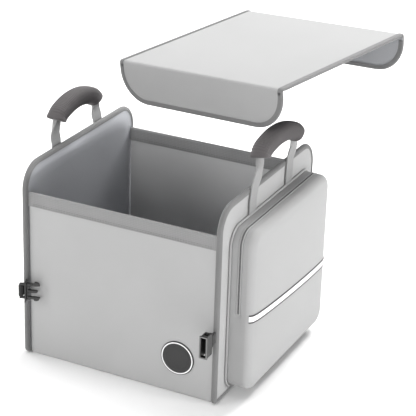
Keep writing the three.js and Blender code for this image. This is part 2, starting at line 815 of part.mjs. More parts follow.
// The plug seen from the side: a shouldered base, two sprung prongs and a guide between them.
// Only its upper half is drawn by hand, and the lower half mirrors it.
function plugOutline() {
  const half = buckle.height / 2 - plug.sideGap;
  const heel = -buckle.barReach;
  const base = heel - plug.shoulder;
  const tip = heel + plug.shoulder - plug.length;
  const crotch = base - plug.sideGap;
  const inner = half - plug.prong;
  const barbEnd = tip + plug.barb;
  const nose = tip + plug.barb / 2;
  const upper = [
    [heel, half - plug.spring],
    [base, half - plug.sideGap],
    [barbEnd, half - plug.spring],
    [tip + plug.barb * 0.78, half],
    [nose, half],
    [tip + plug.guide, half - plug.guide],
    [tip, inner + plug.guide / 2],
    [tip + plug.prong, inner],
    [crotch, inner - plug.guide / 4],
    [crotch, plug.guideRoot],
    [nose, plug.guide],
  ];
  const lower = upper.map(([along, up]) => [along, -up]).reverse();
  const outline = new THREE.Shape();
  outline.moveTo(...upper[0]);
  upper.slice(1).forEach((point) => outline.lineTo(...point));
  outline.absarc(nose, 0, plug.guide, Math.PI / 2, 1.5 * Math.PI);
  lower.slice(1).forEach((point) => outline.lineTo(...point));
  outline.closePath();
  return outline;
}

function plugBody() {
  const half = buckle.height / 2;
  const back = -buckle.barReach - buckle.skin;
  const flange = roundedOutline(
    back - plug.flangeDepth, back, -half, half, buckle.skin, buckle.skin,
  );
  return toSolid(bucklePlan(plugOutline(), plug.thickness))
    .add(toSolid(bucklePlan(flange, plug.flange)))
    .add(cheeks(2 * buckle.barRadius));
}

// Webbing round a buckle's bar, its two plies sewn to the end panel's front edge, in X and Y
function webLoop() {
  const inner = buckle.barRadius + seam;
  const outer = inner + loop.thickness;
  const root = buckle.standOff - seam;
  const outline = new THREE.Shape();
  outline.moveTo(loop.thickness, root);
  outline.lineTo(-loop.thickness, root);
  outline.lineTo(-outer, 0);
  outline.absarc(0, 0, outer, Math.PI, 2 * Math.PI);
  outline.closePath();
  const eye = new THREE.Path();
  eye.absarc(0, 0, inner, 0, 2 * Math.PI);
  outline.holes.push(eye);
  return alongZ(outline, -loop.width / 2, loop.width / 2);
}

function addBuckleHalf(name, side, body, angle) {
  const x = side * (endInner + end.thickness / 2);
  const holder = group(organizer, new THREE.Vector3(x, buckleY, buckle.z));
  piece(holder, `${name}_buckle_webbing`, webLoop(), colours.plastic, 0.9);
  const half = piece(
    holder, side > 0 ? 'buckle_socket' : 'buckle_plug', toGeometry(body), colours.plastic, 0.35,
  );
  half.rotation.z = THREE.MathUtils.degToRad(angle);
}

addEnd('left', -1);
addEnd('right', 1);
addWall('front', -1);
addWall('rear', 1);
addFloor();
addLid();
addHandle('left', handles.left, endTop - sewnLeg);
// The right handle's webbing runs down to the pocket's piping
addHandle('right', handles.right, pocketTop + piping.bead + 2 * seam);
addPocket();
addBadge();
addBuckleHalf('left', -1, plugBody(), plug.restAngle);
addBuckleHalf('right', 1, socketBody(), 0);

export default organizer;
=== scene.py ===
import json
import math

import bmesh
import bpy
import numpy as np
from mathutils import Matrix, Vector


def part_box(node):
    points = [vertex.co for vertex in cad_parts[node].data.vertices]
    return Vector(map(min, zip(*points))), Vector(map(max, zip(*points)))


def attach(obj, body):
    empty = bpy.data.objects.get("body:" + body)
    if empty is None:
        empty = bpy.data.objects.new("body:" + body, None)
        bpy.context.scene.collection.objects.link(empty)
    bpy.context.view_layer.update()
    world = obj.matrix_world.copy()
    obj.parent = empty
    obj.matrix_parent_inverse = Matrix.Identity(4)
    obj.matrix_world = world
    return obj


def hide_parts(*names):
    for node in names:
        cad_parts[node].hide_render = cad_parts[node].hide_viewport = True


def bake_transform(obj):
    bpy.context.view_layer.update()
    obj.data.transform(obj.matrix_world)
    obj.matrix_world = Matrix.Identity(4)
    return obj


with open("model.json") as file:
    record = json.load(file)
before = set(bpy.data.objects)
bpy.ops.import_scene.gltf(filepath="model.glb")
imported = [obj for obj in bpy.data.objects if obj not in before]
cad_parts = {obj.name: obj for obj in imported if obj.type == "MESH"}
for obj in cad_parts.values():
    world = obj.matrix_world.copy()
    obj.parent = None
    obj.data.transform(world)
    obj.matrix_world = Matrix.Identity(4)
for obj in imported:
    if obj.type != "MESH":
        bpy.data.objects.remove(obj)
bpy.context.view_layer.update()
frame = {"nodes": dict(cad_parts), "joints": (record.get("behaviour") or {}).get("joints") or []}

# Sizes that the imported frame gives, in metres

joints = {joint["name"]: joint for joint in frame["joints"]}


def corners(node):
    """Lowest and highest corner of a CAD node as arrays."""
    return tuple(np.array(corner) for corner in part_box(node))


# The gap between sewn pieces, the thickness of a ribbon and the least radius of a corner
SEAM = 0.0003
RIBBON = 0.0008
LEAST = 1e-4


def unit(vector):
    vector = np.asarray(vector, float)
    return vector / np.linalg.norm(vector, axis=-1, keepdims=True)


def smooth(value, start, end):
    """0 before start, 1 after end, and an even rise between them."""
    share = np.clip((np.asarray(value, float) - start) / (end - start), 0, 1)
    return share * share * (3 - 2 * share)


# Forms: points, faces and one texture place in metres for each corner of each face


def lengths(row):
    """Distance along a row of points, from its first to each of them."""
    return np.r_[0, np.cumsum(np.linalg.norm(np.diff(row, axis=0), axis=1))]


def skin(rings, loop=False, chart=None):
    """A closed skin over a row of rings, which either joins up or gets a fan over each end.
    A chart of two rows lays the texture flat instead of along and round the rings."""
    rings = np.asarray(rings, float)
    rows, sides = rings.shape[:2]
    points = rings.reshape(-1, 3)
    order = list(range(rows)) + ([0] if loop else [])
    centres = rings.mean(axis=1)
    along = lengths(centres[order])
    widest = max(rings, key=lambda ring: lengths(ring)[-1])
    around = lengths(np.vstack([widest, widest[:1]]))
    faces, places = [], []
    for span in range(len(order) - 1):
        here, there = order[span] * sides, order[span + 1] * sides
        for side in range(sides):
            far = (side + 1) % sides
            faces.append((here + side, here + far, there + far, there + side))
            near_far = ((span, side), (span, side + 1), (span + 1, side + 1), (span + 1, side))
            places += [(along[i], around[j]) for i, j in near_far]
    if not loop:
        for row in (0, rows - 1):
            hub = len(points)
            points = np.vstack([points, centres[row]])
            for side in range(sides):
                far = (side + 1) % sides
                faces.append((hub, row * sides + side, row * sides + far))
                places += [(along[row], around[side])] * 2 + [(along[row], around[side + 1])]
    if chart is not None:
        used = [corner for face in faces for corner in face]
        places = points[used] @ np.asarray(chart, float).T
    return points, faces, np.asarray(places, float)


def joined(forms):
    """One form from many."""
    faces, shift = [], 0
    for points, form_faces, _ in forms:
        faces += [tuple(corner + shift for corner in face) for face in form_faces]
        shift += len(points)
    return np.vstack([form[0] for form in forms]), faces, np.vstack([form[2] for form in forms])


def build(name, *forms, sharp=55):
    """One mesh object from forms, shaded smooth apart from its sharp edges."""
    points, faces, places = joined(forms)
    mesh = bpy.data.meshes.new(name)
    mesh.from_pydata(points.tolist(), [], faces)
    layer = mesh.uv_layers.new(name="cloth")
    layer.data.foreach_set("uv", places.ravel())
    shell = bmesh.new()
    shell.from_mesh(mesh)
    bmesh.ops.recalc_face_normals(shell, faces=shell.faces)
    shell.to_mesh(mesh)
    shell.free()
    mesh.polygons.foreach_set("use_smooth", [True] * len(mesh.polygons))
    mesh.set_sharp_from_angle(angle=math.radians(sharp))
    made = bpy.data.objects.new(name, mesh)
    bpy.context.scene.collection.objects.link(made)
    return made


def rounded(left, right, bottom, top, low_radius, high_radius, corner=12, edge=20):
    """Points round a rectangle with one radius at its lower corners and another at its upper ones."""
    high_radius = max(high_radius, LEAST)
    low_radius = max(min(low_radius, top - bottom - high_radius), LEAST)
    centres = [
        (right - low_radius, bottom + low_radius, low_radius),
        (right - high_radius, top - high_radius, high_radius),
        (left + high_radius, top - high_radius, high_radius),
        (left + low_radius, bottom + low_radius, low_radius),
    ]
    arcs = []
    for turn, (x, y, radius) in enumerate(centres):
        angle = math.pi / 2 * (turn - 1 + np.linspace(0, 1, corner + 1))
        arcs.append(np.c_[x + radius * np.cos(angle), y + radius * np.sin(angle)])
    rows = []
    for turn, arc in enumerate(arcs):
        onward = arcs[(turn + 1) % 4][0]
        share = np.linspace(0, 1, edge + 1)[1:-1, None]
        rows += [arc, arc[-1] + (onward - arc[-1]) * share]
    return np.vstack(rows)


def give(a, b, size, seed):
    """A slow, repeatable ripple of about one unit over a surface, for cloth that isn't dead flat."""
    rng = np.random.default_rng(seed)
    total = 0
    for octave in range(1, 5):
        angle, phase = rng.uniform(0, 2 * math.pi, 2)
        wave = 2 * math.pi * octave * 0.7 / size
        total = total + np.sin(wave * (a * math.cos(angle) + b * math.sin(angle)) + phase) / octave
    return total / 2


def board_profile(half, reach, edge, crown_up, crown_down, soft, start):
    """Insets and heights from the middle of a board's upper face, round its edge, to the lower middle.
    Each face rises by its crown over the soft width inside start."""
    flat = np.concatenate([np.linspace(reach, start + soft, 8)[:-1], np.linspace(start + soft, edge, 14)])
    turn = np.linspace(0, math.pi / 2, 5)[1:]
    upper = [(inset, half + crown_up * smooth(inset, start, start + soft)) for inset in flat]
    bend = [(edge * (1 - math.sin(t)), half - edge + edge * math.cos(t)) for t in turn]
    lower = [(inset, -half - crown_down * smooth(inset, start, start + soft)) for inset in flat]
    return upper + bend + [(inset, -height) for inset, height in bend[::-1]] + lower[::-1]


def ribbon_section(width, half, steps=7):
    """Section of a ribbon folded over an edge, as insets and heights: its outer side, then its inner."""
    inner = half + SEAM
    outer = inner + RIBBON
    turn = np.linspace(math.pi / 2, -math.pi / 2, steps)

    def side(radius, reach):
        bend = [(outer - radius * math.cos(t), radius * math.sin(t)) for t in turn]
        return [(reach, radius), *bend, (reach, -radius)]

    return np.array(side(outer, width) + side(inner, width)[::-1])


def carried(path, outward, face, section):
    """Rings of a section of insets and heights along a path, given which way is out and which is up."""
    return path[:, None] - section[None, :, :1] * outward[:, None] + section[None, :, 1:] * face[:, None]


def sweep(path, outward, face, section, loop=False):
    return skin(carried(path, outward, face, section), loop)


def resample(path, pitch, loop=False):
    """Even steps along a path: places, directions and shares of the path."""
    closed = np.vstack([path, path[:1]]) if loop else path
    at = lengths(closed)
    count = max(int(at[-1] / pitch), 2)
    steps = (np.arange(count) + 0.5) * at[-1] / count
    places = np.stack([np.interp(steps, at, closed[:, axis]) for axis in range(3)], axis=1)
    ahead = np.stack([np.interp(steps + pitch * 0.1, at, closed[:, axis]) for axis in range(3)], axis=1)
    behind = np.stack([np.interp(steps - pitch * 0.1, at, closed[:, axis]) for axis in range(3)], axis=1)
    return places, unit(ahead - behind)


def stitches(path, up, length=0.0034, pitch=0.005, radius=0.00042, loop=False):
    """A row of sewn stitches, each a short thread bulging from the cloth."""
    places, tangents = resample(path, pitch, loop)
    across = unit(np.cross(tangents, up))
    sides = 6
    angle = np.linspace(0, 2 * math.pi, sides, endpoint=False)
    profile = [(-0.5, 0.45, -0.4), (-0.3, 1.0, 0.25), (0.0, 1.1, 0.45), (0.3, 1.0, 0.25), (0.5, 0.45, -0.4)]
    threads = []
    for place, tangent, side in zip(places, tangents, across):
        round_it = np.cos(angle)[:, None] * side + np.sin(angle)[:, None] * up
        threads.append(skin([
            place + tangent * share * length + up * lift * radius + radius * swell * round_it
            for share, swell, lift in profile
        ]))
    return joined(threads)


# Materials


class Graph:
    """A material's nodes, with short calls to add and join them."""

    def __init__(self, name, colour, roughness, **values):
        self.material = bpy.data.materials.new(name)
        self.material.use_nodes = True
        self.tree = self.material.node_tree
        self.shader = self.tree.nodes["Principled BSDF"]
        self.shader.inputs["Base Color"].default_value = (*colour, 1)
        self.shader.inputs["Roughness"].default_value = roughness
        for socket, value in values.items():
            self.shader.inputs[socket.replace("_", " ")].default_value = value

    def add(self, kind, **settings):
        node = self.tree.nodes.new("ShaderNode" + kind)
        for key, value in settings.items():
            if key in node.inputs.keys():
                node.inputs[key].default_value = value
            else:
                setattr(node, key, value)
        return node

    def join(self, source, target):
        self.tree.links.new(source, target)

    def cloth_place(self):
        return self.add("UVMap", uv_map="cloth").outputs["UV"]

    def thread_wave(self, place, pitch, direction):
        """One wave for each thread, lowest between threads."""
        wave = self.add("TexWave", wave_type="BANDS", bands_direction=direction, wave_profile="SIN")
        wave.inputs["Scale"].default_value = math.pi / 10 / pitch
        self.join(place, wave.inputs["Vector"])
        return wave.outputs["Fac"]

    def mixed(self, low, high, factor):
        mix = self.add("Mix", data_type="FLOAT")
        for value, socket in ((low, mix.inputs[2]), (high, mix.inputs[3]), (factor, mix.inputs[0])):
            if isinstance(value, (int, float)):
                socket.default_value = value
            else:
                self.join(value, socket)
        return mix.outputs[0]

    def maths(self, operation, *values):
        node = self.add("Math", operation=operation)
        for value, socket in zip(values, node.inputs):
            if isinstance(value, (int, float)):
                socket.default_value = value
            else:
                self.join(value, socket)
        return node.outputs[0]

    def plain_weave(self, pitch):
        """Height of a plain weave of threads one pitch apart."""
        place = self.cloth_place()
        checker = self.add("TexChecker")
        checker.inputs["Scale"].default_value = 1 / pitch
        self.join(place, checker.inputs["Vector"])
        warp = self.thread_wave(place, pitch, "X")
        weft = self.thread_wave(place, pitch, "Y")
        return self.mixed(warp, weft, checker.outputs["Fac"])

    def cloudy(self, scale, detail=4.0):
        noise = self.add("TexNoise", Scale=scale, Detail=detail)
        self.join(self.add("TexCoord").outputs["Object"], noise.inputs["Vector"])
        return noise.outputs["Fac"]

    def tint(self, colour, factor, low, high):
        """The base colour, darkened or lightened between two shares as the factor goes from 0 to 1."""
        ramp = self.add("MapRange")
        ramp.inputs["To Min"].default_value = low
        ramp.inputs["To Max"].default_value = high
        self.join(factor, ramp.inputs["Value"])
        scaled = self.add("VectorMath", operation="SCALE")
        scaled.inputs[0].default_value = colour
        self.join(ramp.outputs["Result"], scaled.inputs["Scale"])
        self.join(scaled.outputs["Vector"], self.shader.inputs["Base Color"])

    def relief(self, height, distance, strength=1.0):
        bump = self.add("Bump")
        bump.inputs["Distance"].default_value = distance
        bump.inputs["Strength"].default_value = strength
        self.join(height, bump.inputs["Height"])
        self.join(bump.outputs["Normal"], self.shader.inputs["Normal"])

    def roughness(self, factor, low, high):
        self.join(self.mixed(low, high, factor), self.shader.inputs["Roughness"])


def cloth(name, colour, pitch, depth, shade=0.12, roughness=0.8, drift=0.06, sheen=0.15):
    """Woven cloth: threads in relief, with painted shade between them and a slow change of tone."""
    graph = Graph(name, colour, roughness)
    graph.shader.inputs["Sheen Weight"].default_value = sheen
    graph.shader.inputs["Sheen Roughness"].default_value = 0.5
    height = graph.plain_weave(pitch)
    patches = graph.cloudy(9.0)
    fibres = graph.cloudy(900.0, 2.0)
    # Painted shade: darker where the threads sink between each other, mixed with a slow random change of
    # tone.
    weave_shade_and_patches = graph.maths("ADD", graph.maths("MULTIPLY", height, 0.55), graph.maths("MULTIPLY", patches, 0.45))
    graph.tint(colour, weave_shade_and_patches, 1 - shade - drift, 1 + shade * 0.4 + drift)
    graph.relief(graph.maths("ADD", height, graph.maths("MULTIPLY", fibres, 0.35)), depth, 0.8)
    graph.roughness(patches, roughness - 0.08, roughness + 0.08)
    return graph.material


def ribbed(name, colour, pitch, depth, direction, shade=0.3, roughness=0.85, drift=0.08):
    """Ribbon or webbing: strong ribs one way, fine threads the other way."""
    graph = Graph(name, colour, roughness)
    graph.shader.inputs["Sheen Weight"].default_value = 0.2
    place = graph.cloth_place()
    other = "Y" if direction == "X" else "X"
    ribs = graph.thread_wave(place, pitch, direction)
    threads = graph.thread_wave(place, pitch / 2.7, other)
    height = graph.maths("ADD", graph.maths("MULTIPLY", ribs, 0.75), graph.maths("MULTIPLY", threads, 0.25))
    patches = graph.cloudy(14.0)
    # Painted shade: darker between the ribs and threads, mixed with a slow random change of tone.
    weave_shade_and_patches = graph.maths("ADD", graph.maths("MULTIPLY", height, 0.6), graph.maths("MULTIPLY", patches, 0.4))
    graph.tint(colour, weave_shade_and_patches, 1 - shade - drift, 1 + shade * 0.5 + drift)
    graph.relief(height, depth, 0.9)
    graph.roughness(patches, roughness - 0.07, roughness + 0.07)
    return graph.material


def waffle(name, colour, pitch, depth):
    """Ribbon woven in small square cells."""
    graph = Graph(name, colour, 0.85)
    place = graph.cloth_place()
    waves = [graph.thread_wave(place, pitch, direction) for direction in "XY"]
    cells = graph.maths("MULTIPLY", *waves)
    fine = graph.plain_weave(pitch / 4)
    height = graph.maths("ADD", cells, graph.maths("MULTIPLY", fine, 0.25))
    patches = graph.cloudy(18.0)
    # Painted shade: darker between the cells, mixed with a slow random change of tone.
    weave_shade_and_patches = graph.maths("ADD", graph.maths("MULTIPLY", cells, 0.6), graph.maths("MULTIPLY", patches, 0.4))
    graph.tint(colour, weave_shade_and_patches, 0.74, 1.2)
    graph.relief(height, depth, 0.8)
    graph.roughness(patches, 0.78, 0.92)
    return graph.material


def moulded(name, colour, roughness, grain=1400.0, depth=0.00004, drift=0.1, **values):
    """Plastic, rubber or metal with a fine moulded or satin grain and slight wear."""
    graph = Graph(name, colour, roughness, **values)
    specks = graph.cloudy(grain, 3.0)
    patches = graph.cloudy(60.0)
    graph.tint(colour, patches, 1 - drift, 1 + drift)
    graph.relief(specks, depth, 0.7)
    graph.roughness(patches, roughness - 0.08, roughness + 0.1)
    return graph.material


def grey(level, warm=0.0):
    return (level * (1 + warm), level, level * (1 - warm))


finish = {
    "panel_cloth": cloth("panel_cloth", grey(0.395), 0.0008, 0.00010),
    # Painted shade: the lid is the panels' cloth made darker, to stand against the strong top light.
    "lid_painted_shade_cloth": cloth("lid_painted_shade_cloth", grey(0.335), 0.0008, 0.00010),
    # Painted shade: the linings of the floor, base board, lid and flaps, and of the ends' inner faces, are
    # made darker and bluish where the inside lies in shade.
    "lining_cloth": cloth("lining_cloth", (0.34, 0.345, 0.36), 0.0009, 0.00012, roughness=0.62),
    "end_inner_painted_shade": cloth("end_inner_painted_shade", (0.42, 0.43, 0.455), 0.0009, 0.00012, roughness=0.55),
    "wall_lining": cloth("wall_lining", grey(0.52), 0.0009, 0.00012, roughness=0.62),
    "edging_ribbon": ribbed("edging_ribbon", grey(0.165), 0.0012, 0.00018, "X"),
    "edging_thread": cloth("edging_thread", grey(0.22), 0.0006, 0.0001),
    "hem_ribbon": waffle("hem_ribbon", grey(0.27), 0.0030, 0.0003),
    "hem_thread": cloth("hem_thread", grey(0.17), 0.0006, 0.0001),
    "webbing": ribbed("webbing", grey(0.30), 0.0016, 0.0003, "X"),
    "grip_cloth": cloth("grip_cloth", (0.078, 0.071, 0.073), 0.0012, 0.0002, shade=0.2),
    # Painted shade: the near-black finish inside the grip's mouths.
    "grip_mouth_painted_shade": cloth("grip_mouth_painted_shade", grey(0.012), 0.0012, 0.0001),
    "pocket_cloth": cloth("pocket_cloth", grey(0.33), 0.0007, 0.00008, shade=0.06, roughness=0.7),
    "piping": cloth("piping", grey(0.40), 0.0007, 0.0001),
    "zip_tape": cloth("zip_tape", grey(0.36), 0.0007, 0.0001),
    "zip_teeth": moulded("zip_teeth", grey(0.10), 0.4),
    "zip_metal": moulded("zip_metal", grey(0.45), 0.35, Metallic=1.0),
    "zip_pull": moulded("zip_pull", grey(0.55), 0.55),
    "reflective": moulded(
        "reflective", grey(0.92), 0.35, depth=0.00002, drift=0.02, Coat_Weight=0.3,
    ),
    "stripe_edge": moulded("stripe_edge", grey(0.012), 0.5),
    "badge_rubber": moulded("badge_rubber", grey(0.022), 0.45),
    "badge_ring": moulded("badge_ring", grey(0.85), 0.4),
    "buckle_webbing": ribbed("buckle_webbing", grey(0.02), 0.0014, 0.0003, "X"),
    "buckle_plastic": moulded("buckle_plastic", grey(0.014), 0.32, Coat_Weight=0.15),
    # Painted highlight: the socket's mouth frame is the black plastic made lighter grey.
    "socket_rim_painted_highlight": moulded("socket_rim_painted_highlight", grey(0.16), 0.4),
}


def dress(obj, look, slot, *replaced, body="organizer"):
    """Gives a piece its material, the body it rides on and the nodes it replaces; its slot is not used."""
    obj.data.materials.clear()
    obj.data.materials.append(finish[look])
    if replaced:
        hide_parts(*replaced)
    if body:
        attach(obj, body)
    return obj


def lined(obj, look, towards):
    """Faces of a board that look along a direction get a lining."""
    obj.data.materials.append(finish[look])
    direction = Vector(towards)
    for face in obj.data.polygons:
        if face.normal.dot(direction) > 0.5:
            face.material_index = 1


# Open box

END_THICK = 0.007
END_TOP, END_FOOT = 0.046, 0.010
END_REACH, END_EDGE = 0.172, 0.003
EDGING = 0.008
ribbon_stand = RIBBON + SEAM
# The ends' cloth is padded inside, and the left one's a little outside: how much, and where it rises
PADDING, BULGE = 0.0028, 0.0008
PADDING_START, PADDING_RISE = 0.008, 0.030
# How far a row of stitches lies from a ribbon's inner edge
SEWN_IN = 0.0022


def end_ring(inset):
    low, high = corners("left_end_edging")
    return rounded(
        low[1] + inset, high[1] - inset, low[2] + inset, high[2] - inset, END_FOOT - inset, END_TOP - inset
    )


def in_yz(outline, x):
    return np.c_[np.full(len(outline), x), outline]


def make_end(name, side):
    """End board in padded cloth with its ribbon edging and the edging's stitches."""
    low, high = corners(f"{name}_end_panel")
    middle = (low[0] + high[0]) / 2
    half = END_THICK / 2
    up, down = (0.0, PADDING) if side > 0 else (PADDING, BULGE)
    profile = board_profile(half, END_REACH, END_EDGE, up, down, PADDING_RISE, PADDING_START)
    rings = [in_yz(end_ring(ribbon_stand + inset), middle + height) for inset, height in profile]
    board = build(f"{name}_end_cloth", skin(rings, chart=[[0, 1, 0], [0, 0, 1]]))
    dress(board, "panel_cloth", "panel_cloth", f"{name}_end_panel")
    # The end's inner face gets the bluish painted shade.
    lined(board, "end_inner_painted_shade", (-side, 0, 0))

    outline = end_ring(0)
    path = in_yz(outline, middle)
    tangents = unit(np.roll(path, -1, axis=0) - np.roll(path, 1, axis=0))
    outward = np.cross(tangents, [1.0, 0, 0])
    facing = np.tile([1.0, 0, 0], (len(path), 1))
    band = build(f"{name}_end_ribbon", sweep(path, outward, facing, ribbon_section(EDGING, half), loop=True))
    dress(band, "edging_ribbon", "edging_ribbon", f"{name}_end_edging")
    rows = []
    for face in (-1, 1):
        line = in_yz(end_ring(EDGING - SEWN_IN), middle + face * (half + ribbon_stand))
        rows.append(stitches(line, np.array([face, 0.0, 0.0]), loop=True))
    sewn = build(f"{name}_end_stitches", *rows)
    dress(sewn, "edging_thread", "edging_ribbon")


WALL_THICK, WALL_REACH, WALL_CORNER = 0.005, 0.145, 0.004
HEM, HEM_FREE = 0.025, 0.006
# A second row of stitches runs 3 mm above the first
SEWN_ROWS = (SEWN_IN, SEWN_IN + 0.003)
WALL_WAVE, HEM_WAVE = 0.0006, 0.00025


def make_wall(name, side):
    """Front or rear board in cloth, with the folded ribbon along its top and two rows of stitches."""
    low, high = corners(f"{name}_panel")
    middle = (low[1] + high[1]) / 2
    half = WALL_THICK / 2
    profile = board_profile(half, WALL_REACH, half * 0.96, 0.0, 0.0, 0.02, 0.004)
    rings = []
    for inset, height in profile:
        ring = rounded(
            low[0] + inset, high[0] - inset, low[2] + inset, high[2] - inset,
            WALL_CORNER - inset, WALL_CORNER - inset, corner=5, edge=30,
        )
        sag = WALL_WAVE * give(ring[:, 0], ring[:, 1], 0.3, 5 + side) * smooth(inset, 0.0, 0.05)
        rings.append(np.c_[ring[:, 0], middle + height + sag, ring[:, 1]])
    board = build(f"{name}_wall_cloth", skin(rings, chart=[[1, 0, 0], [0, 0, 1]]))
    dress(board, "panel_cloth", "panel_cloth", f"{name}_panel")
    lined(board, "wall_lining", (0, -side, 0))

    low, high = corners(f"{name}_hem_band")
    xs = np.linspace(low[0], high[0], 90)
    path = np.c_[xs, np.full(len(xs), middle), np.full(len(xs), high[2])]
    outward = np.tile([0.0, 0, 1], (len(xs), 1))
    facing = np.tile([0.0, side, 0], (len(xs), 1))
    section = ribbon_section(HEM, half)
    rings = carried(path, outward, facing, section)
    loose = smooth(section[:, 0], HEM_FREE, HEM)[None, :] * np.sign(section[:, 1])[None, :]
    ripple = HEM_WAVE * (1 + give(xs, 0 * xs, 0.09, 11 + side))[:, None] * loose
    rings[:, :, 1] += side * ripple
    band = build(f"{name}_hem_ribbon", skin(rings))
    dress(band, "hem_ribbon", "hem_ribbon", f"{name}_hem_band")
    rows = []
    for face in (-1, 1):
        for lift in SEWN_ROWS:
            height = np.full(len(xs), low[2] + lift)
            line = np.c_[xs, np.full(len(xs), middle + face * (half + ribbon_stand + SEAM)), height]
            rows.append(stitches(line[2:-2], np.array([0.0, face, 0.0])))
    sewn = build(f"{name}_hem_stitches", *rows)
    dress(sewn, "hem_thread", "hem_ribbon")


def make_flat(name, node, look, radius, edge):
    """A level board in cloth, a little soft along its edges."""
    low, high = corners(node)
    half = (high[2] - low[2]) / 2
    middle = (high[2] + low[2]) / 2
    rings = []
    for inset, height in board_profile(half, 0.165, edge, 0.0, 0.0, 0.02, 0.004):
        ring = rounded(
            low[0] + inset, high[0] - inset, low[1] + inset, high[1] - inset,
            radius - inset, radius - inset, corner=5,
        )
        rings.append(np.c_[ring, np.full(len(ring), middle + height)])
    board = build(name, skin(rings, chart=[[1, 0, 0], [0, 1, 0]]))
    dress(board, look, "lining_cloth", node)


# Lid, in its own frame: X along it, Y to its rear, Z up, the origin in the middle of its top face

LID_LENGTH, LID_THICK = 0.356, 0.0045
FLAP_DEPTH, FLAP_RADIUS = 0.075, 0.060
LID_RIBBON = 0.009
front_hinge = np.array(joints["front_flap_fold"]["pos_m"])
rear_hinge = np.array(joints["rear_flap_fold"]["pos_m"])
lid_x = unit(joints["front_flap_fold"]["axis"])
lid_y = unit(rear_hinge - front_hinge)
lid_z = np.cross(lid_x, lid_y)
fold_reach = np.linalg.norm(rear_hinge - front_hinge) / 2
lid_centre = (front_hinge + rear_hinge) / 2 + lid_z * LID_THICK
flap_thick = LID_THICK - SEAM
lid_stand = RIBBON + SEAM


def in_lid(points):
    """Points of the lid's own frame in the row frame."""
    points = np.asarray(points, float)
    return lid_centre + points @ np.array([lid_x, lid_y, lid_z])


def lid_form(form):
    return in_lid(form[0]), form[1], form[2]


def flap_ring(inset, top, corner=14, edge=20):
    """A flap seen from the front, with large round lower corners."""
    reach = LID_LENGTH / 2 - inset
    return rounded(
        -reach, reach, -FLAP_DEPTH + inset, top, FLAP_RADIUS - inset, LEAST, corner=corner, edge=edge
    )


def make_lid_top():
    reach_x = LID_LENGTH / 2 - lid_stand
    reach_y = fold_reach - SEAM
    rings = []
    for inset, height in board_profile(LID_THICK / 2, 0.17, 0.0004, 0.0, 0.0, 0.02, 0.004):
        ring = rounded(
            -reach_x + inset, reach_x - inset, -reach_y + inset, reach_y - inset, LEAST, LEAST,
            corner=2, edge=30,
        )
        sag = 0.0005 * give(ring[:, 0], ring[:, 1], 0.35, 3) * smooth(inset, 0.0, 0.06)
        rings.append(np.c_[ring, height - LID_THICK / 2 + sag])
    board = build("lid_top_cloth", lid_form(skin(rings, chart=[[1, 0, 0], [0, 1, 0]])))
    dress(board, "lid_painted_shade_cloth", "panel_cloth", "lid_board")
    lined(board, "lining_cloth", -lid_z)


def make_flap(name, side):
    """A hanging flap in cloth and the fold of cloth that carries it."""
    body = f"{name}_flap"
    middle = side * (fold_reach + SEAM + flap_thick / 2)
    rings = []
    for inset, height in board_profile(flap_thick / 2, 0.033, 0.0004, 0.0, 0.0, 0.012, 0.004):
        ring = flap_ring(lid_stand + inset, -LID_THICK - SEAM - inset)
        rings.append(np.c_[ring[:, 0], middle + height * np.ones(len(ring)), ring[:, 1]])
    board = build(f"lid_{name}_flap_cloth", lid_form(skin(rings, chart=[[1, 0, 0], [0, 0, 1]])))
    dress(board, "lid_painted_shade_cloth", "panel_cloth", f"lid_{name}_flap", body=body)
    lined(board, "lining_cloth", -side * lid_y)

    outer, inner = LID_THICK, LID_THICK - 0.001
    lap = 0.0004
    angles = np.linspace(math.pi / 2, 0, 9)

    def arc(radius):
        bend = [(math.cos(t) * radius, math.sin(t) * radius) for t in angles]
        return [(-lap, radius), *bend, (radius, -lap)]

    section = np.array(arc(outer) + arc(inner)[::-1])
    xs = np.linspace(-LID_LENGTH / 2 + lid_stand, LID_LENGTH / 2 - lid_stand, 60)
    rings = [
        np.c_[np.full(len(section), x), side * (fold_reach + section[:, 0]), -LID_THICK + section[:, 1]]
        for x in xs
    ]
    fold = build(f"lid_{name}_fold_cloth", lid_form(skin(rings)))
    dress(fold, "lid_painted_shade_cloth", "panel_cloth", f"lid_{name}_fold", body=None)
    bend_with_flap(fold)


def bend_with_flap(obj):
    """Bakes the piece's place into its mesh."""
    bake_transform(obj)


def binding_path(side):
    """The lid's edge from the middle of its left side, over the fold and round the flap, to its right side:
    places on the edge, which way is out, and which way the outer face looks."""
    board_plane = -LID_THICK / 2
    flap_plane = fold_reach + SEAM + flap_thick / 2
    bend = (flap_plane - fold_reach + LID_THICK + board_plane) / 2
    ys = np.linspace(0, fold_reach - 0.0015, 50)
    places = [(-LID_LENGTH / 2, y, board_plane) for y in ys]
    faces = [(0, 0, 1)] * len(ys)
    for t in np.linspace(0, math.pi / 2, 7)[1:-1]:
        places.append((
            -LID_LENGTH / 2,
            fold_reach + math.sin(t) * (flap_plane - fold_reach),
            -LID_THICK + math.cos(t) * (LID_THICK + board_plane),
        ))
        faces.append((0, math.sin(t), math.cos(t)))
    top = -LID_THICK - 0.0015
    ring = flap_ring(0, top)
    start = np.argmin(np.abs(ring[:, 0] + LID_LENGTH / 2) + np.abs(ring[:, 1] - top))
    lower = np.roll(ring, -start, axis=0)
    lower = lower[: np.argmin(np.abs(lower[:, 0] - LID_LENGTH / 2) + np.abs(lower[:, 1] - top)) + 1]
    for x, z in lower:
        places.append((x, flap_plane, z))
        faces.append((0, 1, 0))
    places, faces = np.array(places, float), np.array(faces, float)
    count = len(ys) + 5
    back = places[:count][::-1] * [-1, 1, 1]
    places = np.vstack([places, back])
    faces = np.vstack([faces, faces[:count][::-1]])
    tangents = np.gradient(places, axis=0)
    outward = unit(np.cross(faces, tangents))
    turned = np.array([1, side, 1])
    return places * turned, outward * turned, faces * turned, bend


